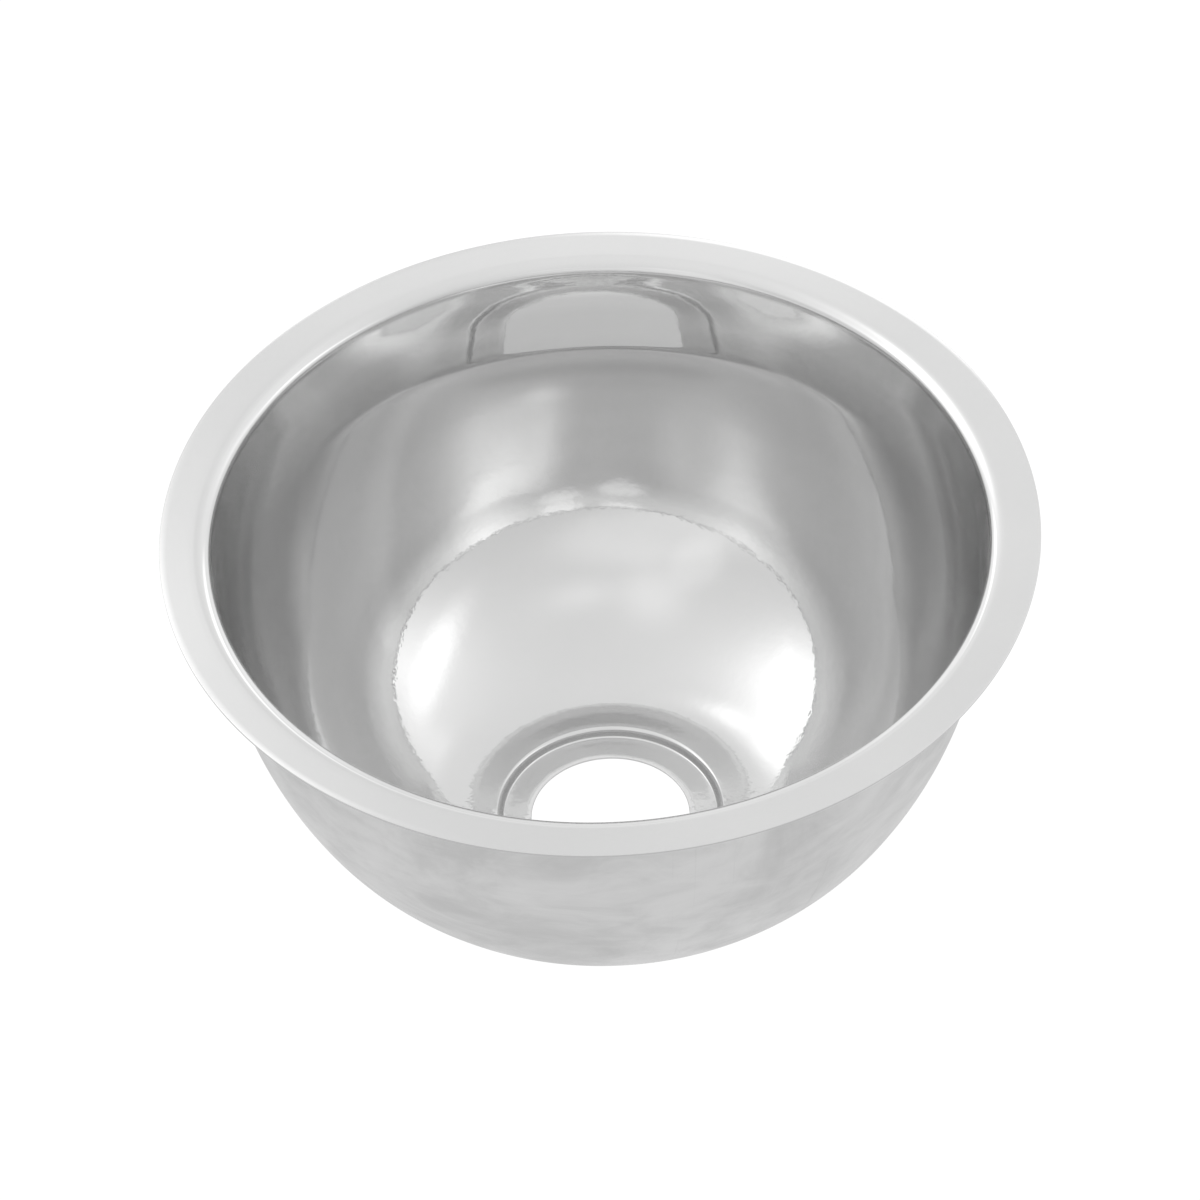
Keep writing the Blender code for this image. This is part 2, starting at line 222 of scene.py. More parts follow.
# Painted highlight on the eased edge of the rim: (depth in mm, share)
RIM_EDGE_HIGHLIGHT = ((0, 0.0), (0.1, 0.0), (0.6, 1.0), (1.8, 1.0), (3.0, 0.0), (230, 0.0))


def polish_roughness(graph, place):
    """A sharp mirror, cloudy and faintly wiped, with hazy specks of micro-scratches."""
    cloud = graph.noise(place, scale=9.0, detail=4.0, rough=0.6)
    around_bowl = turned_coordinates(graph, around=14.0, along=420.0)
    wipes = graph.noise(around_bowl, scale=1.0, detail=4.0, rough=0.65)
    mirror = graph.plus(
        graph.ramp(cloud, low=0.35, high=0.7, start=0.018, end=0.045),
        graph.ramp(wipes, low=0.45, high=0.75, start=0.0, end=0.02),
    )
    speck_scale = (60000.0, 60000.0, 60000.0)
    speck = graph.add("TexWhiteNoise", Vector=graph.vector("MULTIPLY", place, speck_scale))
    patches = graph.noise(place, scale=16.0, detail=4.0, rough=0.6)
    share = graph.ramp(patches, low=0.3, high=0.7, start=0.09, end=0.17)
    hazy = graph.math("LESS_THAN", speck.outputs["Value"], share)
    haze_roughness = 0.45
    return graph.plus(mirror, graph.times(hazy, haze_roughness))


def polish_colour(graph, place, x, y, z):
    """The tuned reflectance, banded by depth as painted light and shade, with a slight cloudy
    tint.
    """
    depth = graph.math("DIVIDE", graph.math("SUBTRACT", RIM_Z, z), POLISH_SPAN * MM)
    # The back wall gets its own bands of painted light and shade
    near_back = graph.times(
        graph.ramp(graph.math("ABSOLUTE", x), low=50 * MM, high=82 * MM, start=1.0, end=0.0),
        graph.math("GREATER_THAN", y, 0.0),
    )
    level = graph.mix(
        near_back,
        graph.profile(depth, PAINTED_LIGHT_SIDES, POLISH_SPAN),
        graph.profile(depth, PAINTED_LIGHT_BACK, POLISH_SPAN),
    )
    # The rim brightens towards the back right, to stand in for uneven light
    gain_back, gain_right = 0.15, 0.12  # per metre
    tilt = graph.plus(graph.times(y, gain_back), graph.times(x, gain_right))
    on_rim = graph.ramp(
        depth, low=0.5 / POLISH_SPAN, high=3.0 / POLISH_SPAN, start=1.0, end=0.0
    )
    level = graph.scale(level, graph.plus(graph.times(tilt, on_rim), 1.0))
    # A painted highlight brightens the eased edge of the rim at the left and right
    highlight_gain = 0.14
    rim_highlight = graph.times(
        graph.ramp(graph.math("ABSOLUTE", x), low=100 * MM, high=180 * MM),
        graph.profile(depth, RIM_EDGE_HIGHLIGHT, POLISH_SPAN),
    )
    level = graph.scale(level, graph.plus(graph.times(rim_highlight, highlight_gain), 1.0))
    cloud = graph.noise(place, scale=5.0, detail=3.0, rough=0.5)
    tint = graph.mix(
        graph.ramp(cloud, low=0.3, high=0.7), (0.976, 0.977, 0.976, 1), (1.024, 1.024, 1.022, 1)
    )
    return graph.vector("MULTIPLY", level, tint)


def polished_steel():
    """Mirror-polished inside: faint polishing lines round the bowl and some orange peel,
    stronger low down."""
    made, graph = new_material("polished_stainless")
    place = graph.position()
    x, y, z = graph.separate(place)
    around_bowl = turned_coordinates(graph, around=20.0, along=900.0)
    lines = graph.noise(around_bowl, scale=1.0, detail=3.0, rough=0.6)
    lined = graph.bump(lines, strength=0.10, distance=0.00002)
    peel = graph.noise(place, scale=190.0, detail=3.0, rough=0.55)
    peel_strength = graph.ramp(z, low=75 * MM, high=115 * MM, start=0.50, end=0.12)
    graph.surface(
        # base colour: painted light and shade banded by depth over the steel's grey
        polish_colour(graph, place, x, y, z),
        polish_roughness(graph, place),
        graph.bump(peel, strength=peel_strength, distance=0.00008, normal=lined),
    )
    return made


def satin_steel():
    """The drawn outside: satin, cloudy, with a few faint marks running down the draw."""
    made, graph = new_material("satin_stainless")
    place = graph.position()
    x, y, z = graph.separate(place)
    cloud = graph.noise(place, scale=9.0, detail=5.0, rough=0.62, distortion=0.8)
    flattened = graph.vector("MULTIPLY", place, (1.0, 1.0, 2.2))
    smoke = graph.noise(flattened, scale=22.0, detail=4.0, rough=0.65, distortion=1.2)
    cloud_share, smoke_share = 0.65, 0.35
    mixed = graph.plus(graph.times(cloud, cloud_share), graph.times(smoke, smoke_share))

    streaks_round, streaks_down = 95.0, 7.0  # noise cycles per radian and per metre
    angle = graph.math("ARCTAN2", y, x)
    drawn = graph.combine(
        graph.times(angle, streaks_round), graph.times(z, streaks_down), 0.0
    )
    streak = graph.noise(drawn, scale=1.0, detail=3.0, rough=0.6)
    patches = graph.noise(place, scale=7.0, detail=2.0, rough=0.5)
    marks = graph.times(
        graph.ramp(streak, low=0.60, high=0.74), graph.ramp(patches, low=0.5, high=0.66)
    )
    mark_darkness, mark_roughness = 0.18, 0.08
    base = graph.mix(
        graph.ramp(mixed, low=0.34, high=0.66), (0.605, 0.605, 0.605, 1), (0.735, 0.735, 0.735, 1)
    )
    streaked = graph.bump(streak, strength=0.06, distance=0.0001)
    grain = graph.noise(place, scale=700.0, detail=3.0, rough=0.6)
    graph.surface(
        graph.mix(graph.times(marks, mark_darkness), base, (0.42, 0.42, 0.42, 1)),
        graph.plus(
            graph.ramp(mixed, low=0.3, high=0.7, start=0.44, end=0.30),
            graph.times(marks, mark_roughness),
        ),
        graph.bump(grain, strength=0.22, distance=0.00004, normal=streaked),
    )
    return made


def pressed_steel(name, base, rough):
    """Plain or plated small metal parts, slightly cloudy and grained."""
    made, graph = new_material(name)
    place = graph.position()
    cloud = graph.noise(place, scale=90.0, detail=4.0, rough=0.6)
    dark = tuple(channel * 0.82 for channel in base)
    grain = graph.noise(place, scale=420.0, detail=4.0, rough=0.6)
    graph.surface(
        graph.mix(graph.ramp(cloud, low=0.35, high=0.65), (*dark, 1), (*base, 1)),
        graph.ramp(cloud, low=0.3, high=0.7, start=rough + 0.08, end=rough - 0.05),
        graph.bump(grain, strength=0.3, distance=0.00008),
    )
    return made


def foam_material():
    made, graph = new_material("closed_cell_foam")
    voronoi = graph.add("TexVoronoi", Scale=1400.0, Vector=graph.position())
    cells = voronoi.outputs["Distance"]
    graph.surface(
        graph.mix(
            graph.ramp(cells, low=0.1, high=0.7), (0.035, 0.035, 0.038, 1), (0.085, 0.085, 0.09, 1)
        ),
        rough=0.9,
        normal=graph.bump(cells, strength=0.6, distance=0.0002),
        metallic=0.0,
    )
    return made


def bitumen_material():
    made, graph = new_material("deadening_pad")
    place = graph.position()
    specks = graph.noise(place, scale=900.0, detail=4.0, rough=0.7)
    smear = graph.noise(place, scale=40.0, detail=3.0, rough=0.5)
    graph.surface(
        graph.mix(
            graph.ramp(specks, low=0.35, high=0.7), (0.07, 0.07, 0.075, 1), (0.20, 0.20, 0.205, 1)
        ),
        graph.ramp(smear, low=0.3, high=0.7, start=0.62, end=0.85),
        graph.bump(specks, strength=0.5, distance=0.0003),
        metallic=0.0,
    )
    return made


MATERIALS = {
    "polished_stainless": polished_steel(),
    "satin_stainless": satin_steel(),
    "clip_steel": pressed_steel("clip_steel", base=(0.56, 0.57, 0.58), rough=0.36),
    "zinc_plate": pressed_steel("zinc_plate", base=(0.66, 0.68, 0.72), rough=0.26),
    "plated_brass": pressed_steel("plated_brass", base=(0.74, 0.60, 0.33), rough=0.28),
    "closed_cell_foam": foam_material(),
    "deadening_pad": bitumen_material(),
}


# ------------------------------------------------------------------ mesh helpers
def smooth_step(low, high, value):
    t = min(1.0, max(0.0, (value - low) / (high - low)))
    return t * t * (3 - 2 * t)


def around(count):
    """Evenly spaced angles round a full turn."""
    return [2 * math.pi * j / count for j in range(count)]


def circle(radius, z, count, centre):
    return [
        (centre[0] + radius * math.cos(angle), centre[1] + radius * math.sin(angle), z)
        for angle in around(count)
    ]


def middle(low, high):
    """Centre of a box in plan."""
    return (low.x + high.x) / 2, (low.y + high.y) / 2


def ring_mesh(name, rings, closed=True):
    """A mesh from rings of equally many points. closed joins the last ring to the first,
    otherwise both ends are capped."""
    count = len(rings[0])
    verts = [point for ring in rings for point in ring]
    faces = []
    for k in range(len(rings) if closed else len(rings) - 1):
        n = (k + 1) % len(rings)
        for j in range(count):
            m = (j + 1) % count
            faces.append((k * count + j, k * count + m, n * count + m, n * count + j))
    if not closed:
        faces.append(tuple(range(count)))
        faces.append(tuple(reversed(range((len(rings) - 1) * count, len(rings) * count))))
    mesh = bpy.data.meshes.new(name)
    mesh.from_pydata(verts, [], faces)
    bm = bmesh.new()
    bm.from_mesh(mesh)
    bmesh.ops.recalc_face_normals(bm, faces=bm.faces)
    bm.to_mesh(mesh)
    bm.free()
    return mesh


def add_object(name, data):
    made = bpy.data.objects.new(name, data)
    scene.collection.objects.link(made)
    return made


def stand_in(name, mesh, node, body):
    """Puts the mesh in the place of a CAD piece."""
    made = add_object(name, mesh)
    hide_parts(node)
    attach(made, body)


def add_piece(name, mesh, node, body, slot, sharp_degrees):
    mesh.materials.append(MATERIALS[slot])
    mesh.shade_smooth()
    mesh.set_sharp_from_angle(angle=math.radians(sharp_degrees))
    stand_in(name, mesh, node, body)


# ------------------------------------------------------------------ the bowl
def arc_down(r, z, slope, radius, end, steps):
    """Points of an arc going inward and down from (r, z), its slope turning to end."""
    centre_r = r - radius * math.sin(slope)
    centre_z = z + radius * math.cos(slope)
    made = []
    for i in range(1, steps + 1):
        a = slope + (end - slope) * i / steps
        made.append((centre_r + radius * math.sin(a), centre_z - radius * math.cos(a), a))
    return made


def meridian():
    """The sheet's upper surface as (r, z, slope), rim edge to outlet, z = 0 at the rim."""
    wall = math.pi / 2 - WALL_DRAFT
    points = []
    # The flat rim eases over before the tight bend
    wall_r = BEND_OUTER_R - RIM_BEND_R * math.sin(wall)
    bend_r = wall_r + RIM_BEND_R * (math.sin(wall) - math.sin(RIM_EASE))
    outer, inner = RIM_R - EDGE, bend_r + RIM_EASE_R * math.sin(RIM_EASE)
    for i in range(6):
        points.append((outer + (inner - outer) * i / 5, 0.0, 0.0))
    for i in range(1, 9):
        a = RIM_EASE * i / 8
        points.append((inner - RIM_EASE_R * math.sin(a), -RIM_EASE_R * (1 - math.cos(a)), a))
    # A negative radius bends the sheet downwards
    points += arc_down(*points[-1], -RIM_BEND_R, wall, 18)
    r, z, _ = points[-1]
    straight = (RIM_BEND_R * (1 - math.cos(wall)) + WALL_STRAIGHT) + z
    for i in range(1, 9):
        fall = straight * i / 8
        points.append((r - fall * math.tan(WALL_DRAFT), z - fall, wall))
    for radius, end, steps in BODY_ARCS:
        points += arc_down(*points[-1], radius, end, steps)
    # Flat base, then over the lip and down into the recess
    base_r, base, _ = points[-1]
    for i in range(1, 3):
        points.append((base_r + (LIP_START_R - base_r) * i / 3, base, 0.0))
    for i in range(13):
        a = RECESS_SLOPE * i / 12
        points.append((LIP_START_R - LIP_R * math.sin(a), base - LIP_R * (1 - math.cos(a)), a))
    straight = RECESS_DEPTH - (LIP_R + FOOT_R) * (1 - math.cos(RECESS_SLOPE))
    r, z, _ = points[-1]
    for i in range(1, 4):
        fall = straight * i / 3
        points.append((r - fall / math.tan(RECESS_SLOPE), z - fall, RECESS_SLOPE))
    points += arc_down(*points[-1], FOOT_R, 0.0, 8)
    foot_r, floor_z, _ = points[-1]
    end_r = OUTLET_R + EDGE
    for i in range(1, 5):
        points.append((foot_r + (end_r - foot_r) * i / 4, floor_z, 0.0))
    return points


MERIDIAN = meridian()


def back_wall_shift():
    """How far the back wall stands outside the nominal profile, as (depths, shifts)."""
    top, bottom, step = 4 * MM, 160 * MM, 1e-4
    points = [point for point in MERIDIAN if -bottom < point[1] < -top]
    depths = np.linspace(top, bottom, 1561)  # one every step
    nominal = np.interp(depths, [-point[1] for point in points], [point[0] for point in points])
    start = RIM_BEND_R + WALL_STRAIGHT
    first = float(np.interp(start, depths, nominal))
    wanted = nominal.copy()
    gap = 0.0
    settling = BACK_SETTLES_AT - BACK_STRAIGHT_TO
    for i, depth in enumerate(depths):
        if start <= depth <= BACK_STRAIGHT_TO:
            wanted[i] = first - (depth - start) * math.tan(WALL_DRAFT)
            gap = wanted[i] - nominal[i]
        elif BACK_STRAIGHT_TO < depth < BACK_SETTLES_AT:
            wanted[i] += gap * (1 - (depth - BACK_STRAIGHT_TO) / settling) ** 1.5
        # A slight flare, in mm, that dies out lower down
        flare = -0.10 * smooth_step(9, 19, depth / MM) + 0.32 * smooth_step(24, 50, depth / MM)
        wanted[i] += flare * MM * (1 - smooth_step(64, 120, depth / MM))
    # Round the corner where the straight part ends
    reach, blur = 120, 0.0028
    kernel = np.exp(-0.5 * (np.arange(-reach, reach + 1) * step / blur) ** 2)
    padded = np.pad(wanted, reach, mode="edge")
    rounded = np.convolve(padded, kernel / kernel.sum(), "same")[reach:-reach]
    near = np.exp(-(((depths - BACK_STRAIGHT_TO) / (12 * MM)) ** 4))
    return depths, wanted * (1 - near) + rounded * near - nominal


def at_back(x, y):
    """1 over the back of the bowl, falling to 0 towards its sides."""
    return 1 - smooth_step(math.radians(28), math.radians(60), abs(math.atan2(x, y)))


def draw_wave(point):
    """Slight unevenness that deep drawing and polishing leave, in metres."""
    broad = noise.noise(point * 14.0)
    fine = noise.noise(point * 45.0 + Vector((7.0, 3.0, 1.0)))
    lower = 1 - 0.7 * smooth_step(-110 * MM, -60 * MM, point.z)
    return 0.035 * MM * broad + 0.030 * MM * fine * lower


def wave_share(r, slope):
    """How much of the draw wave applies: none on the rim and cut edges, little in the recess."""
    if slope is None or r > BEND_OUTER_R:
        return 0.0
    if r < LIP_START_R:
        return 0.2
    return min(1.0, (BEND_OUTER_R - r) / (4 * MM), 0.2 + (r - LIP_START_R) / (10 * MM))


def sheet_section():
    """The closed section of the sheet as (r, z, slope, polished). Cut edges have no slope."""
    quarter = [math.pi / 2 * i / 4 for i in range(1, 4)]
    # Offsets of a rounded edge, along it and away from it
    rounding = [(EDGE * math.sin(a), EDGE * (1 - math.cos(a))) for a in quarter]
    floor_z = MERIDIAN[-1][1]
    loop = [(r, z, slope, True) for r, z, slope in MERIDIAN]
    # Edge of the outlet hole
    loop += [(OUTLET_R + EDGE - run, floor_z - fall, None, True) for run, fall in rounding]
    loop.append((OUTLET_R, floor_z - EDGE, None, True))
    loop.append((OUTLET_R, floor_z - SHEET + EDGE, None, False))
    loop += [
        (OUTLET_R + fall, floor_z - SHEET + EDGE - run, None, False) for run, fall in rounding
    ]
    # Lower surface, outlet to rim
    loop += [
        (r + SHEET * math.sin(slope), z - SHEET * math.cos(slope), slope, False)
        for r, z, slope in reversed(MERIDIAN)
    ]
    # Outer edge of the rim
    loop += [(RIM_R - EDGE + run, -SHEET + fall, None, True) for run, fall in rounding]
    loop.append((RIM_R, -SHEET + EDGE, None, True))
    loop.append((RIM_R, -EDGE, None, True))
    loop += [(RIM_R - fall, -EDGE + run, None, True) for run, fall in rounding]
    return loop


def build_bowl():
    loop = sheet_section()
    depths, shifts = back_wall_shift()
    rings = []
    for r, z, slope, _ in loop:
        share = wave_share(r, slope)
        out = 0.0
        if slope is not None and r > 150 * MM:
            out = float(np.interp(-z, depths, shifts, 0.0, 0.0))
        ring = []
        for t in around(SEGMENTS):
            wide = r + out * at_back(math.cos(t), math.sin(t))
            x, y = wide * math.cos(t), wide * math.sin(t)
            if share > 0:
                shift = draw_wave(Vector((x, y, z))) * share
                ring.append(
                    (
                        x - math.sin(slope) * math.cos(t) * shift,
                        y - math.sin(slope) * math.sin(t) * shift,
                        z + RIM_Z + math.cos(slope) * shift,
                    )
                )
            else:
                ring.append((x, y, z + RIM_Z))
        rings.append(ring)
    slots = []
    for k, point in enumerate(loop):
        polished = point[3] and loop[(k + 1) % len(loop)][3]
        slots += [0 if polished else 1] * SEGMENTS
    mesh = ring_mesh("bowl", rings)
    mesh.materials.append(MATERIALS["polished_stainless"])
    mesh.materials.append(MATERIALS["satin_stainless"])
    mesh.polygons.foreach_set("material_index", slots)
    mesh.shade_smooth()
    mesh.update()
    stand_in("bowl", mesh, "bowl_shell", "bowl")


# ------------------------------------------------------------------ seal and pad
def build_seal():
    """Foam strip stuck under the rim: square section, soft corners, uneven underneath."""
    low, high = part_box("rim_seal")
    outer = high.x
    inner = outer - 4.6 * MM
    corner = 0.5 * MM
    section = []
    for corner_r, corner_z, start in (
        (outer - corner, high.z - corner, 0.0),
        (inner + corner, high.z - corner, 90.0),
        (inner + corner, low.z + corner, 180.0),
        (outer - corner, low.z + corner, 270.0),
    ):
        for i in range(4):
            t = math.radians(start + 30.0 * i)
            section.append((corner_r + corner * math.cos(t), corner_z + corner * math.sin(t)))
    rings = []
    for r, z in section:
        ring = []
        for t in around(240):
            press = 0.12 * MM * noise.noise(Vector((9 * math.cos(t), 9 * math.sin(t), 4.0)))
            squeeze = press if z < (low.z + high.z) / 2 else 0.0
            ring.append((r * math.cos(t), r * math.sin(t), max(low.z, z + squeeze)))
        rings.append(ring)
    add_piece("seal", ring_mesh("seal", rings), "rim_seal", "bowl", "closed_cell_foam", 80)


def build_pad():
    """Sound-deadening ring under the base, following the sheet's lower face."""
    inner_r, outer_r = 68 * MM, 105.4 * MM
    near = SHEET + 0.3 * MM  # the pad's two faces, below the sheet's upper surface
    far = near + 3.0 * MM
    edge = 0.7 * MM
    points = [
        (r, z, slope)
        for r, z, slope in MERIDIAN
        if inner_r <= r + SHEET * math.sin(slope) <= outer_r and z < -100 * MM
    ]
    upper, lower = (
        [(r + drop * math.sin(slope), z - drop * math.cos(slope)) for r, z, slope in points]
        for drop in (near, far)
    )

    def halfway(first, second):
        return first[0] * 0.5 + second[0] * 0.5, first[1] * 0.5 + second[1] * 0.5

    top_out, top_in = upper[0], upper[-1]
    low_out, low_in = lower[0], lower[-1]
    mid_out, mid_in = halfway(low_out, top_out), halfway(low_in, top_in)
    section = [
        *upper,
        # soft inner end
        (top_in[0] - edge * 0.5, top_in[1] - edge * 0.4),
        (mid_in[0] - edge * 0.7, mid_in[1]),
        (low_in[0] - edge * 0.5, low_in[1] + edge * 0.5),
        *reversed(lower[1:-1]),
        # soft outer end
        (low_out[0] - edge * 0.2, low_out[1] + edge * 0.1),
        (mid_out[0] + edge * 0.5, mid_out[1]),
        (top_out[0] + edge * 0.1, top_out[1] - edge * 0.3),
    ]
    rings = []
    for r, z in section:
        ring = []
        for t in around(180):
            spot = Vector((r * 90 * math.cos(t), r * 90 * math.sin(t), 2.0))
            lump = 0.10 * MM * noise.noise(spot)
            ring.append((r * math.cos(t), r * math.sin(t), z + RIM_Z + lump))
        rings.append(ring)
    add_piece("pad", ring_mesh("pad", rings), "sound_pad", "bowl", "deadening_pad", 70)


# ------------------------------------------------------------------ fixings
CLIP_THREAD_R = 2.5 * MM
BONDING_THREAD_R = 2.0 * MM
NUT_CLEARANCE = 0.08 * MM
WASHER_CLEARANCE = 0.25 * MM


def build_nut(node, flats, bore, slot):
    """Hexagon nut with turned chamfers and a countersunk bore."""
    low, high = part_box(node)
    x, y = centre = middle(low, high)
    # The CAD nut's own corners tell how it is turned
    corner = max(
        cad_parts[node].data.vertices,
        key=lambda v: (v.co.x - x) ** 2 + (v.co.y - y) ** 2,
    ).co
    turn = math.atan2(corner.y - y, corner.x - x) + math.pi / 6
    count = 72
    sink = 0.35 * MM

    def hex_ring(z, depth):
        """The hexagon at a depth from the nut's face, cut back by the chamfer cone."""
        limit = flats / 2 * 0.975 + depth * 1.73
        ring = []
        for t in around(count):
            from_flat = (t - turn + math.pi / 6) % (math.pi / 3) - math.pi / 6
            r = min(flats / 2 / math.cos(from_flat), limit)
            ring.append((x + r * math.cos(t), y + r * math.sin(t), z))
        return ring

    chamfer = [0.62 * MM * i / 6 for i in range(7)]
    rings = [
        circle(bore, low.z + sink, count, centre),
        circle(bore + sink, low.z, count, centre),
        *(hex_ring(low.z + depth, depth) for depth in chamfer),
        *(hex_ring(high.z - depth, depth) for depth in reversed(chamfer)),
        circle(bore + sink, high.z, count, centre),
        circle(bore, high.z - sink, count, centre),
    ]
    add_piece(node + "_shape", ring_mesh(node, rings), node, "bowl", slot, 25)


def carve(mesh, cutter_mesh):
    """mesh with cutter_mesh taken away."""
    carved = add_object("carved", mesh)
    cutter = add_object("cutter", cutter_mesh)
    modifier = carved.modifiers.new("cut", "BOOLEAN")
    modifier.operation = "DIFFERENCE"
    modifier.solver = "EXACT"
    modifier.object = cutter
    depsgraph = bpy.context.evaluated_depsgraph_get()
    made = bpy.data.meshes.new_from_object(carved.evaluated_get(depsgraph))
    bpy.data.objects.remove(carved)
    bpy.data.objects.remove(cutter)
    return made


def bar(centre, size, turn):
    """A block, turned about Z, as a mesh."""
    corners = []
    for side_z in (-1, 1):
        for side_x, side_y in ((-1, -1), (1, -1), (1, 1), (-1, 1)):
            u, v = side_x * size[0] / 2, side_y * size[1] / 2
            corners.append(
                (
                    centre[0] + u * math.cos(turn) - v * math.sin(turn),
                    centre[1] + u * math.sin(turn) + v * math.cos(turn),
                    centre[2] + side_z * size[2] / 2,
                )
            )
    mesh = bpy.data.meshes.new("bar")
    faces = [(3, 2, 1, 0), (4, 5, 6, 7), (0, 1, 5, 4), (1, 2, 6, 5), (2, 3, 7, 6), (3, 0, 4, 7)]
    mesh.from_pydata(corners, [], faces)
    return mesh


def build_screw(node, radius, pitch, head_r, head_height, head_down, body, slot):
    """Pan-head slotted screw with a cut thread."""
    low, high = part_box(node)
    x, y = centre = middle(low, high)
    sign = -1 if head_down else 1
    seat = low.z + head_height if head_down else high.z - head_height
    tip = high.z if head_down else low.z
    length = abs(tip - seat)
    count = 36
    thread_depth = 0.54 * pitch
    rings = []
    rows = int(length / pitch * 8)
    for i in range(rows + 1):
        height = length * (1 - i / rows)  # above the seat, going from the tip to it
        z = seat - sign * height
        run_in = smooth_step(0.0, 1.2 * pitch, length - height)
        run_out = smooth_step(0.0, 0.8 * pitch, height)
        chamfer = min(1.0, 0.62 + 0.38 * (length - height) / (1.1 * pitch))
        ring = []
        for t in around(count):
            phase = (height / pitch + sign * t / (2 * math.pi)) % 1.0
            groove = max(0.0, min(1.0, (abs(phase - 0.5) * 2 - 0.12) / 0.72))
            r = radius * chamfer - thread_depth * groove * run_in * run_out * 0.9
            ring.append((x + r * math.cos(t), y + r * math.sin(t), z))
        rings.append(ring)
    # Head, as (radius, height over the seat): a short side, then a dome
    side = head_height * 0.45
    profile = [(head_r - 0.1 * MM, 0.0), (head_r, 0.12 * MM), (head_r, side)]
    for i in range(1, 9):
        t = math.pi / 2 * i / 8
        profile.append(
            (
                head_r * 0.45 + (head_r * 0.55) * math.cos(t),
                side + head_height * 0.55 * math.sin(t),
            )
        )
    for r, height in profile:
        rings.append(circle(r, seat + sign * height, count, centre))
    top = seat + sign * head_height
    slot_size = (head_r * 3, 1.2 * MM, 2.6 * MM)
    cutter = bar((x, y, top), slot_size, turn=math.atan2(y, x) + 0.5)
    mesh = carve(ring_mesh(node, rings, closed=False), cutter)
    add_piece(node + "_shape", mesh, node, body, slot, 35)


def build_washer(node, inner, slot):
    low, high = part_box(node)
    outer = (high.x - low.x) / 2
    soft = 0.12 * MM
    section = (
        (inner, low.z + soft), (inner + soft, low.z),
        (outer - soft, low.z), (outer, low.z + soft),
        (outer, high.z - soft), (outer - soft, high.z),
        (inner + soft, high.z), (inner, high.z - soft),
    )
    rings = [circle(r, z, 64, middle(low, high)) for r, z in section]
    add_piece(node + "_shape", ring_mesh(node, rings), node, "bowl", slot, 50)


def dress_pressing(node):
    """A folded sheet piece keeps its CAD shape, with its edges broken as a press leaves them."""
    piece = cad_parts[node]
    piece.data.materials.clear()
    piece.data.materials.append(MATERIALS["clip_steel"])
    bevel = piece.modifiers.new("broken_edges", "BEVEL")
    bevel.width = 0.18 * MM
    bevel.segments = 3
    bevel.limit_method = "ANGLE"
    bevel.angle_limit = math.radians(50)
    bevel.use_clamp_overlap = True
    bevel.harden_normals = False


build_bowl()
build_seal()
build_pad()
for number in (1, 2, 3):
    dress_pressing(f"clip_bracket_{number}")
    dress_pressing(f"clip_hook_{number}")
    build_nut(
        f"clip_nut_{number}", flats=8.0 * MM, bore=CLIP_THREAD_R + NUT_CLEARANCE,
        slot="zinc_plate",
    )
    build_screw(
        f"clip_screw_{number}", radius=CLIP_THREAD_R, pitch=0.8 * MM, head_r=4.5 * MM,
        head_height=3.0 * MM, head_down=True, body=f"screw_{number}", slot="zinc_plate",
    )
dress_pressing("bonding_tag")
build_nut(
    "bonding_nut", flats=7.0 * MM, bore=BONDING_THREAD_R + NUT_CLEARANCE, slot="plated_brass"
)
build_screw(
    "bonding_screw", radius=BONDING_THREAD_R, pitch=0.7 * MM, head_r=3.5 * MM,
    head_height=2.4 * MM, head_down=False, body="bowl", slot="plated_brass",
)
build_washer("bonding_washer", inner=BONDING_THREAD_R + WASHER_CLEARANCE, slot="plated_brass")


# ------------------------------------------------------------------ floor
def glow_material(name):
    """An empty material that lights only what its rays reach. Gives its graph and output."""
    made, graph = new_material(name)
    for node in list(graph.nodes):
        graph.nodes.remove(node)
    made.cycles.emission_sampling = "NONE"
    return made, graph, graph.add("OutputMaterial").inputs[0]


def build_floor():
    """A pale floor: a little brighter to the camera than in reflections, clear from below."""
    size = 6.0
    mesh = bpy.data.meshes.new("floor")
    corners = [(-size, -size, 0), (size, -size, 0), (size, size, 0), (-size, size, 0)]
    mesh.from_pydata(corners, [], [(0, 1, 2, 3)])
    made = add_object("floor", mesh)
    made.location.z = shell_low.z - 0.2 * MM
    material, graph, output = glow_material("pale_floor")
    seen = graph.add("Emission", Strength=1.0).outputs[0]
    reflected = graph.add("Emission", Strength=0.8).outputs[0]
    diffuse = graph.add("BsdfDiffuse", Color=(0.05, 0.05, 0.05, 1)).outputs[0]
    clear = graph.add("BsdfTransparent").outputs[0]
    to_camera = graph.add("LightPath").outputs["Is Camera Ray"]
    from_below = graph.add("NewGeometry").outputs["Backfacing"]
    lit = graph.fill(graph.add("AddShader"), seen, diffuse)
    top = graph.fill(graph.add("MixShader"), to_camera, reflected, lit)
    graph.put(output, graph.fill(graph.add("MixShader"), from_below, top, clear))
    mesh.materials.append(material)


build_floor()

# ------------------------------------------------------------------ light
DOME_R = 1.3
DOME_LEVEL = 0.945
DOME_TOP = 0.14  # added towards the top
DOME_BACK = 0.083  # added towards the back
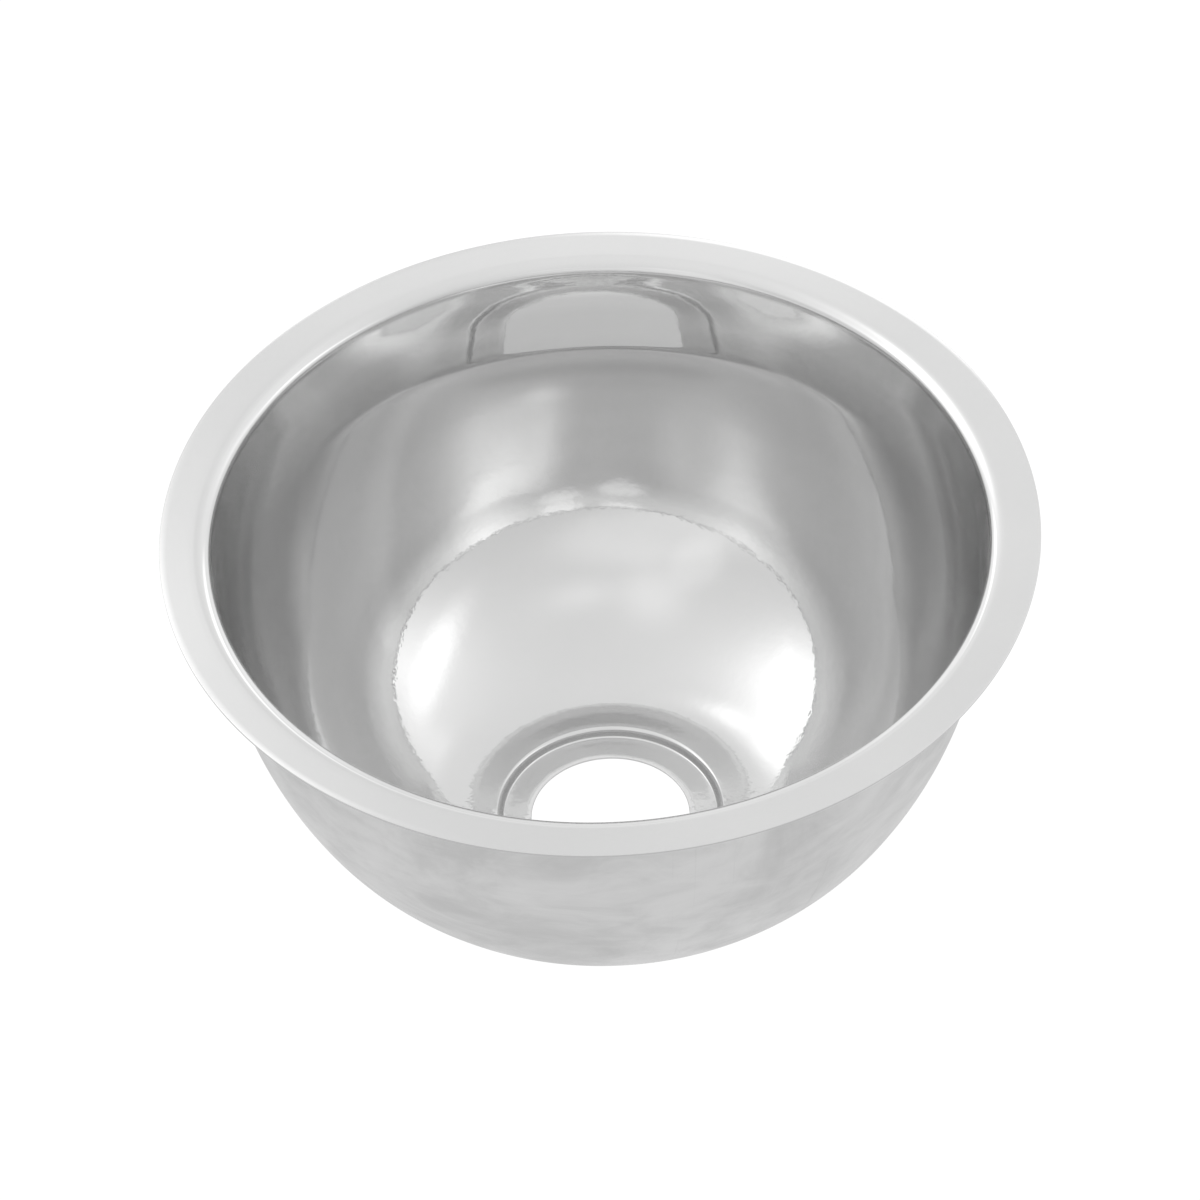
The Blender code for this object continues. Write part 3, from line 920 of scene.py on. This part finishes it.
# Soft lamps on the dome: azimuth (0 is +Y, 90 is +X), elevation, half width, half height
# (both as parts of the dome's radius), turn in degrees, fall-off, strength
LAMPS = (
    (-67, 35, 0.30, 0.36, 24, 1.9, 1.02),
    (-36, 47, 0.25, 0.23, 78, 3.3, 0.34),
    (0, 14, 0.62, 0.16, 0, 2.7, 0.20),
    (-22, 27.5, 0.18, 0.075, 0, 5.0, 0.55),
    (13, 30.5, 0.20, 0.085, 0, 5.0, 0.60),
    (-161, 28, 0.24, 0.55, -107, 4.5, 0.19),
    (-151, 55, 0.17, 0.23, -20, 2.5, 0.19),
    (-140, 35, 0.23, 0.14, -86, 3.9, 0.15),
    (82, 30, 0.37, 0.36, 28, 1.8, 0.56),
    (168, 57, 0.12, 0.19, 87, 1.8, 0.16),
    (-130, 4, 0.60, 0.26, 0, 3.0, 0.24),
    (-56, 40, 0.33, 0.078, 0, 3.0, 0.70),
    (88, 40, 0.36, 0.105, 0, 3.0, 0.52),
    (-32, 55, 0.13, 0.08, 0, 2.5, 0.32),
    (-32, 44, 0.12, 0.09, 0, 2.0, 0.32),
    (47, 40, 0.15, 0.12, 0, 2.0, 0.20),
    (0, 36, 0.22, 0.08, 0, 2.0, 0.07),
)


def lamp_glow(graph, at, azimuth, elevation, wide, high, turn, fall, strength):
    """One lamp's brightness at the direction at."""
    az, el, t = math.radians(azimuth), math.radians(elevation), math.radians(turn)
    aim = Vector((math.sin(az) * math.cos(el), math.cos(az) * math.cos(el), math.sin(el)))
    east = Vector((math.cos(az), -math.sin(az), 0.0))
    north = Vector((-math.sin(az) * math.sin(el), -math.cos(az) * math.sin(el), math.cos(el)))
    across = (east * math.cos(t) + north * math.sin(t)) / wide
    upward = (north * math.cos(t) - east * math.sin(t)) / high
    u = graph.vector("DOT_PRODUCT", at, tuple(across), out=1)
    v = graph.vector("DOT_PRODUCT", at, tuple(upward), out=1)
    square = graph.plus(graph.times(u, u), graph.times(v, v))
    soft = graph.math("EXPONENT", graph.times(graph.math("POWER", square, fall / 2), -1.0))
    towards = graph.vector("DOT_PRODUCT", at, tuple(aim), out=1)
    facing = graph.math("GREATER_THAN", towards, 0.0)
    return graph.times(graph.times(soft, facing), strength)


def build_dome():
    """A large tent of soft light round the bowl. The camera does not see it."""
    bm = bmesh.new()
    bmesh.ops.create_uvsphere(bm, u_segments=96, v_segments=48, radius=DOME_R)
    mesh = bpy.data.meshes.new("light_tent")
    bm.to_mesh(mesh)
    bm.free()
    made = add_object("light_tent", mesh)
    made.location.z = RIM_Z
    material, graph, output = glow_material("light_tent")
    at = graph.vector("NORMALIZE", graph.position())
    _, y, z = graph.separate(at)
    level = graph.plus(
        graph.times(z, DOME_TOP), graph.plus(graph.times(y, DOME_BACK), DOME_LEVEL)
    )
    for lamp in LAMPS:
        level = graph.plus(level, lamp_glow(graph, at, *lamp))
    graph.put(output, graph.add("Emission", Strength=level).outputs[0])
    mesh.materials.append(material)
    made.visible_camera = False


build_dome()

world = bpy.data.worlds.new("studio")
scene.world = world
world.use_nodes = True
background = world.node_tree.nodes["Background"]
background.inputs["Color"].default_value = (1, 1, 1, 1)
background.inputs["Strength"].default_value = 1.0

# ------------------------------------------------------------------ camera
ELEVATION = 0.792043  # radians
ROLL = -0.039159
DISTANCE = 20.0 * RIM_R
SIDE = 0.005039 * RIM_R  # the eye's shift to the left
RISE = -0.152354 * RIM_R  # and up, square to the view
LENS = 264.66546  # mm


def build_camera():
    cos_roll, sin_roll = math.cos(ROLL), math.sin(ROLL)
    cos_el, sin_el = math.cos(ELEVATION), math.sin(ELEVATION)
    eye = (
        -SIDE,
        RISE * sin_el - DISTANCE * cos_el,
        RISE * cos_el + DISTANCE * sin_el + RIM_Z,
    )
    right = (cos_roll, sin_roll * sin_el, sin_roll * cos_el)
    up = (-sin_roll, cos_roll * sin_el, cos_roll * cos_el)
    back = (0.0, -cos_el, sin_el)
    data = bpy.data.cameras.new("camera")
    data.sensor_width = 36.0
    data.lens = LENS
    data.clip_start = 0.1
    data.clip_end = 50.0
    camera = add_object("camera", data)
    camera.matrix_world = Matrix((*zip(right, up, back, eye), (0, 0, 0, 1)))
    scene.camera = camera


build_camera()

scene.view_settings.view_transform = "Standard"
scene.cycles.max_bounces = 16
scene.cycles.glossy_bounces = 14
